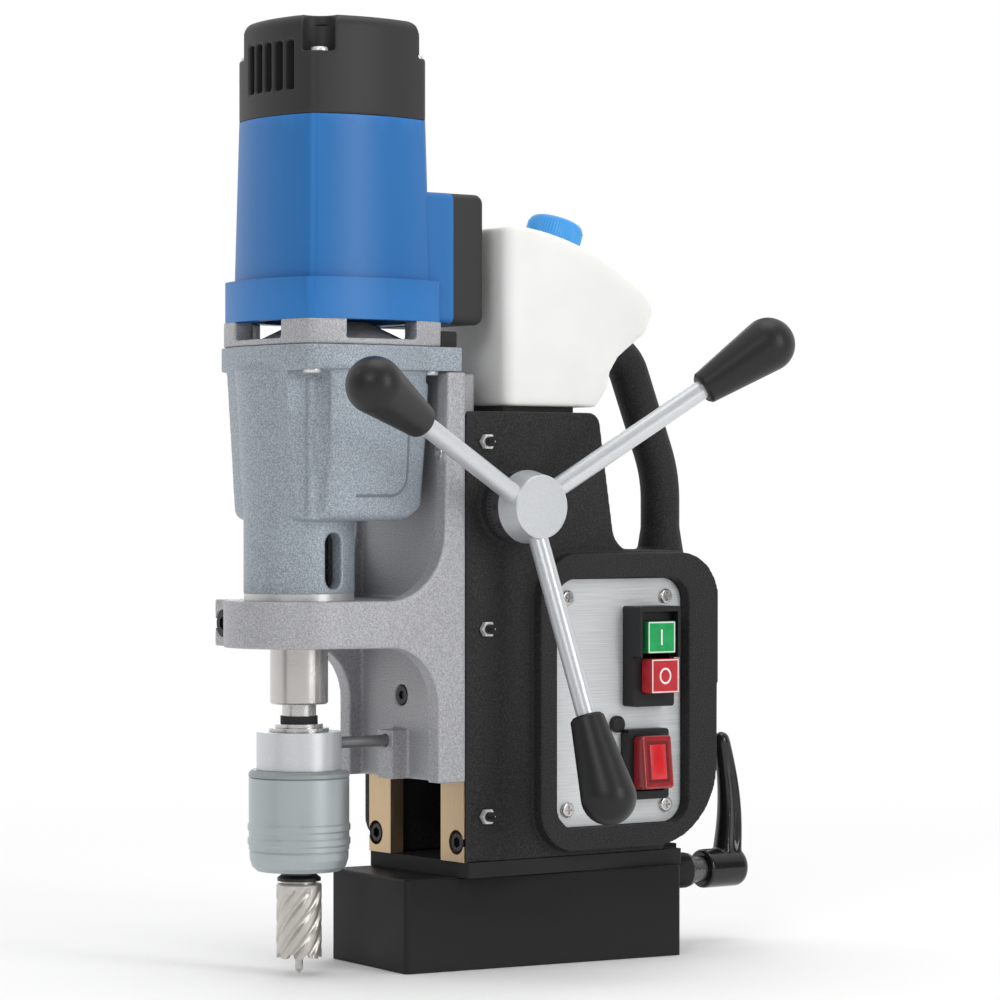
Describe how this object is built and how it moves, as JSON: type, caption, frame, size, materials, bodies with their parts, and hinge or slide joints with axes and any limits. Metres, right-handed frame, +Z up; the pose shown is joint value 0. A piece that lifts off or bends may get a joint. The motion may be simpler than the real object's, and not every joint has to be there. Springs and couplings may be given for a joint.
{
  "type": "magnetic drill press",
  "caption": "Portable drill press on a magnet foot: swivelling black column with handle and switches, feed capstan, sliding carriage, gearbox, motor, chuck and hollow cutter.",
  "frame": {"origin": "swivel axis on the underside of the magnet foot", "axes": "+Z up, -Y towards the spindle, +X the operator's side with the feed handles and switches"},
  "size_m": [0.1733, 0.3199, 0.4792],
  "materials": {
    "black_steel": "satin black paint",
    "black_casting": "matte black, finely textured casting",
    "resin": "cast resin",
    "steel": "ground steel",
    "brass": "milled brass",
    "dark_steel": "black oxide",
    "rubber": "matte",
    "white_plastic": "milky blow-moulded plastic",
    "light_blue_plastic": "moulded",
    "brushed_panel": "brushed",
    "black_plastic": "fine texture",
    "green_plastic": "moulded",
    "red_plastic": "moulded",
    "silver_casting": "light silver-grey hammered paint",
    "blue_grey_casting": "blue-grey hammered paint",
    "blue_plastic": "satin blue moulding",
    "laminations": "stacked sheet steel",
    "satin_aluminium": "satin"
  },
  "bodies": {
    "magnet_foot": {"magnet_body": "black_steel", "potted_coil": "resin", "pivot_pin": "steel"},
    "column": {"swivel_plate": "black_steel", "column_housing": "black_casting", "gib_strip_left": "brass", "gib_strip_right": "brass", "strip_screws": "dark_steel", "adjusting_gib": "steel", "gib_set_screws": "dark_steel", "gib_lock_nuts": "steel", "top_pad": "rubber", "coolant_tank": "white_plastic", "control_panel": "brushed_panel", "panel_screws": "steel", "motor_switch_body": "black_plastic", "indicator_lens": "black_plastic", "magnet_switch_body": "black_plastic", "circuit_board": "green_plastic", "pinion_bushes": "brass", "cable_gland": "black_plastic"},
    "tank_cap": {"tank_cap": "light_blue_plastic"},
    "start_button": {"start_button": "green_plastic"},
    "stop_button": {"stop_button": "red_plastic"},
    "magnet_rocker": {"magnet_rocker": "red_plastic"},
    "clamp_lever": {"clamp_lever": "black_plastic", "clamp_stud": "steel"},
    "carriage": {"carriage": "silver_casting", "feed_rack": "steel", "arm_clamp_bolt": "dark_steel", "coolant_ring": "satin_aluminium", "coolant_rod": "dark_steel", "gearbox_housing": "blue_grey_casting", "casing_screws": "steel", "ball_bearings": "steel", "bearing_plate": "silver_casting", "cable_clamp": "rubber", "motor_housing": "blue_plastic", "electronics_cover": "black_plastic", "motor_cap": "black_plastic", "motor_stator": "laminations", "carbon_brushes": "brass"},
    "capstan": {"pinion_shaft": "steel", "scale_dial": "black_plastic", "capstan_hub": "satin_aluminium", "capstan_spokes": "satin_aluminium", "capstan_grips": "black_plastic"},
    "spindle": {"spindle": "steel", "spindle_gear": "steel", "tool_chuck": "satin_aluminium", "retaining_washers": "steel", "spindle_seal": "rubber", "annular_cutter": "steel", "shank_collar": "dark_steel"},
    "chuck_sleeve": {"chuck_sleeve": "satin_aluminium"},
    "pilot_pin": {"pilot_pin": "steel"},
    "armature": {"armature_shaft": "steel", "armature_core": "laminations", "motor_fan": "black_plastic"},
    "cluster_gear": {"cluster_gear": "steel"}
  },
  "joints": [
    {"name": "swivel", "type": "hinge", "parent": "magnet_foot", "child": "column", "pos_m": [0, 0, 0.05], "axis": [0, 0, 1], "range_deg": [-21, 9]},
    {"name": "feed", "type": "slide", "parent": "column", "child": "carriage", "axis": [0, 0, 1], "range_m": [-0.04, 0.09]},
    {"name": "capstan_turn", "type": "hinge", "parent": "column", "child": "capstan", "pos_m": [0.06, -0.006, 0.235], "axis": [1, 0, 0], "range_deg": [-430, 192]},
    {"name": "armature_spin", "type": "hinge", "parent": "carriage", "child": "armature", "pos_m": [0, -0.0845, 0.38], "axis": [0, 0, 1], "continuous": true},
    {"name": "cluster_spin", "type": "hinge", "parent": "carriage", "child": "cluster_gear", "pos_m": [0.0179, -0.09342, 0.28], "axis": [0, 0, 1], "continuous": true},
    {"name": "spindle_spin", "type": "hinge", "parent": "carriage", "child": "spindle", "pos_m": [0, -0.1044, 0.2], "axis": [0, 0, 1], "continuous": true},
    {"name": "sleeve_turn", "type": "hinge", "parent": "spindle", "child": "chuck_sleeve", "pos_m": [0, -0.1044, 0.08], "axis": [0, 0, 1], "range_deg": [0, 30], "stiffness_Nm_per_rad": 0.3, "springref_deg": -11.46},
    {"name": "pilot_slide", "type": "slide", "parent": "spindle", "child": "pilot_pin", "axis": [0, 0, 1], "range_m": [0, 0.012], "stiffness_N_per_m": 300, "springref_m": -0.005},
    {"name": "start_press", "type": "slide", "parent": "column", "child": "start_button", "axis": [1, 0, 0], "range_m": [-0.003, 0], "stiffness_N_per_m": 600, "springref_m": 0.001},
    {"name": "stop_press", "type": "slide", "parent": "column", "child": "stop_button", "axis": [1, 0, 0], "range_m": [-0.003, 0], "stiffness_N_per_m": 600, "springref_m": 0.001},
    {"name": "magnet_rock", "type": "hinge", "parent": "column", "child": "magnet_rocker", "pos_m": [0.049, 0.079, 0.1022], "axis": [0, 1, 0], "range_deg": [0, 12]},
    {"name": "clamp_turn", "type": "hinge", "parent": "column", "child": "clamp_lever", "pos_m": [0.011, 0.16, 0.0393], "axis": [0, 1, 0], "range_deg": [-80, 80]},
    {"name": "cap_lift", "type": "slide", "parent": "column", "child": "tank_cap", "axis": [0, 0.3256, 0.9455], "range_m": [0, 0.03]}
  ],
  "couplings": [
    {"joint": "capstan_turn", "follows": "feed", "rad_per_m": -83.333},
    {"joint": "cluster_spin", "follows": "armature_spin", "ratio": -0.25},
    {"joint": "spindle_spin", "follows": "armature_spin", "ratio": 0.068182}
  ]
}
